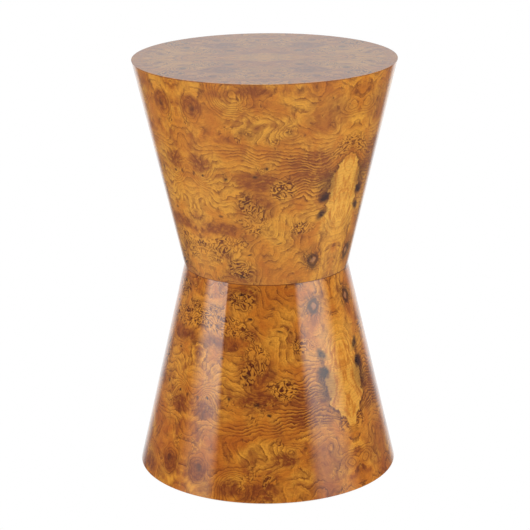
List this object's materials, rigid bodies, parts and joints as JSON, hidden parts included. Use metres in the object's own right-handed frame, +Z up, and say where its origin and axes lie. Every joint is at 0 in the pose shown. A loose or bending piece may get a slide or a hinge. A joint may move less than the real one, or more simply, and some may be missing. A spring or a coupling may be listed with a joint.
{
  "type": "accent table",
  "caption": "Hourglass drum accent table in book-matched burl veneer, with a flat round top, a pinched waist and levelling glides recessed in the base.",
  "frame": {"origin": "centre of the table's footprint, on the floor, with the glides screwed home", "axes": "+Z up along the table's axis, -Y towards the front, +X to the right seen from the front"},
  "size_m": [0.38, 0.38, 0.61],
  "materials": {
    "burl_veneer": "high gloss clear lacquer over figured burl",
    "fibreboard": "sanded fibreboard, edges sealed",
    "plywood": "birch plywood, sanded",
    "hardboard": "smooth brown hardboard",
    "bending_ply": "bending plywood, unfinished",
    "dowel_wood": "fluted beech, unfinished",
    "plated_steel": "bright zinc plate",
    "insert_brass": "turned brass",
    "pad_nylon": "black nylon, fine matt texture",
    "felt": "brown wool felt"
  },
  "bodies": {
    "table": {"upper_waist_plate": "fibreboard", "upper_rib_1": "plywood", "upper_rib_2": "plywood", "upper_rib_3": "plywood", "upper_rib_4": "plywood", "upper_rib_5": "plywood", "upper_rib_6": "plywood", "upper_mid_ring": "plywood", "upper_hardboard_skin": "hardboard", "upper_bending_ply": "bending_ply", "upper_leaf_back": "burl_veneer", "upper_leaf_left": "burl_veneer", "upper_leaf_front": "burl_veneer", "upper_leaf_right": "burl_veneer", "lower_waist_plate": "fibreboard", "lower_rib_1": "plywood", "lower_rib_2": "plywood", "lower_rib_3": "plywood", "lower_rib_4": "plywood", "lower_rib_5": "plywood", "lower_rib_6": "plywood", "lower_mid_ring": "plywood", "lower_hardboard_skin": "hardboard", "lower_bending_ply": "bending_ply", "lower_leaf_back": "burl_veneer", "lower_leaf_left": "burl_veneer", "lower_leaf_front": "burl_veneer", "lower_leaf_right": "burl_veneer", "waist_bolts": "plated_steel", "waist_washers": "plated_steel", "waist_tee_nuts": "plated_steel", "ledger_screws": "plated_steel", "cover_screws": "plated_steel", "waist_dowels": "dowel_wood", "top_ledger": "plywood", "top_panel": "fibreboard", "top_leaf_back_right": "burl_veneer", "top_leaf_back_left": "burl_veneer", "top_leaf_front_left": "burl_veneer", "top_leaf_front_right": "burl_veneer", "base_ring": "fibreboard", "base_cover": "hardboard", "glide_inserts": "insert_brass"},
    "glide_pad_back_right": {"glide_pad_back_right": "pad_nylon", "glide_felt_back_right": "felt"},
    "glide_stem_back_right": {"glide_stem_back_right": "plated_steel"},
    "glide_pad_back_left": {"glide_pad_back_left": "pad_nylon", "glide_felt_back_left": "felt"},
    "glide_stem_back_left": {"glide_stem_back_left": "plated_steel"},
    "glide_pad_front_left": {"glide_pad_front_left": "pad_nylon", "glide_felt_front_left": "felt"},
    "glide_stem_front_left": {"glide_stem_front_left": "plated_steel"},
    "glide_pad_front_right": {"glide_pad_front_right": "pad_nylon", "glide_felt_front_right": "felt"},
    "glide_stem_front_right": {"glide_stem_front_right": "plated_steel"}
  },
  "joints": [
    {"name": "glide_pad_back_right_travel", "type": "slide", "parent": "table", "child": "glide_pad_back_right", "axis": [0, 0, -1], "range_m": [0, 0.012]},
    {"name": "glide_stem_back_right_turn", "type": "hinge", "parent": "glide_pad_back_right", "child": "glide_stem_back_right", "pos_m": [0.10865, 0.10865, 0.0055], "axis": [0, 0, -1], "range_deg": [0, 3456]},
    {"name": "glide_pad_back_left_travel", "type": "slide", "parent": "table", "child": "glide_pad_back_left", "axis": [0, 0, -1], "range_m": [0, 0.012]},
    {"name": "glide_stem_back_left_turn", "type": "hinge", "parent": "glide_pad_back_left", "child": "glide_stem_back_left", "pos_m": [-0.10865, 0.10865, 0.0055], "axis": [0, 0, -1], "range_deg": [0, 3456]},
    {"name": "glide_pad_front_left_travel", "type": "slide", "parent": "table", "child": "glide_pad_front_left", "axis": [0, 0, -1], "range_m": [0, 0.012]},
    {"name": "glide_stem_front_left_turn", "type": "hinge", "parent": "glide_pad_front_left", "child": "glide_stem_front_left", "pos_m": [-0.10865, -0.10865, 0.0055], "axis": [0, 0, -1], "range_deg": [0, 3456]},
    {"name": "glide_pad_front_right_travel", "type": "slide", "parent": "table", "child": "glide_pad_front_right", "axis": [0, 0, -1], "range_m": [0, 0.012]},
    {"name": "glide_stem_front_right_turn", "type": "hinge", "parent": "glide_pad_front_right", "child": "glide_stem_front_right", "pos_m": [0.10865, -0.10865, 0.0055], "axis": [0, 0, -1], "range_deg": [0, 3456]}
  ],
  "couplings": [
    {"joint": "glide_pad_back_right_travel", "follows": "glide_stem_back_right_turn", "m_per_rad": 0.00019894},
    {"joint": "glide_pad_back_left_travel", "follows": "glide_stem_back_left_turn", "m_per_rad": 0.00019894},
    {"joint": "glide_pad_front_left_travel", "follows": "glide_stem_front_left_turn", "m_per_rad": 0.00019894},
    {"joint": "glide_pad_front_right_travel", "follows": "glide_stem_front_right_turn", "m_per_rad": 0.00019894}
  ]
}
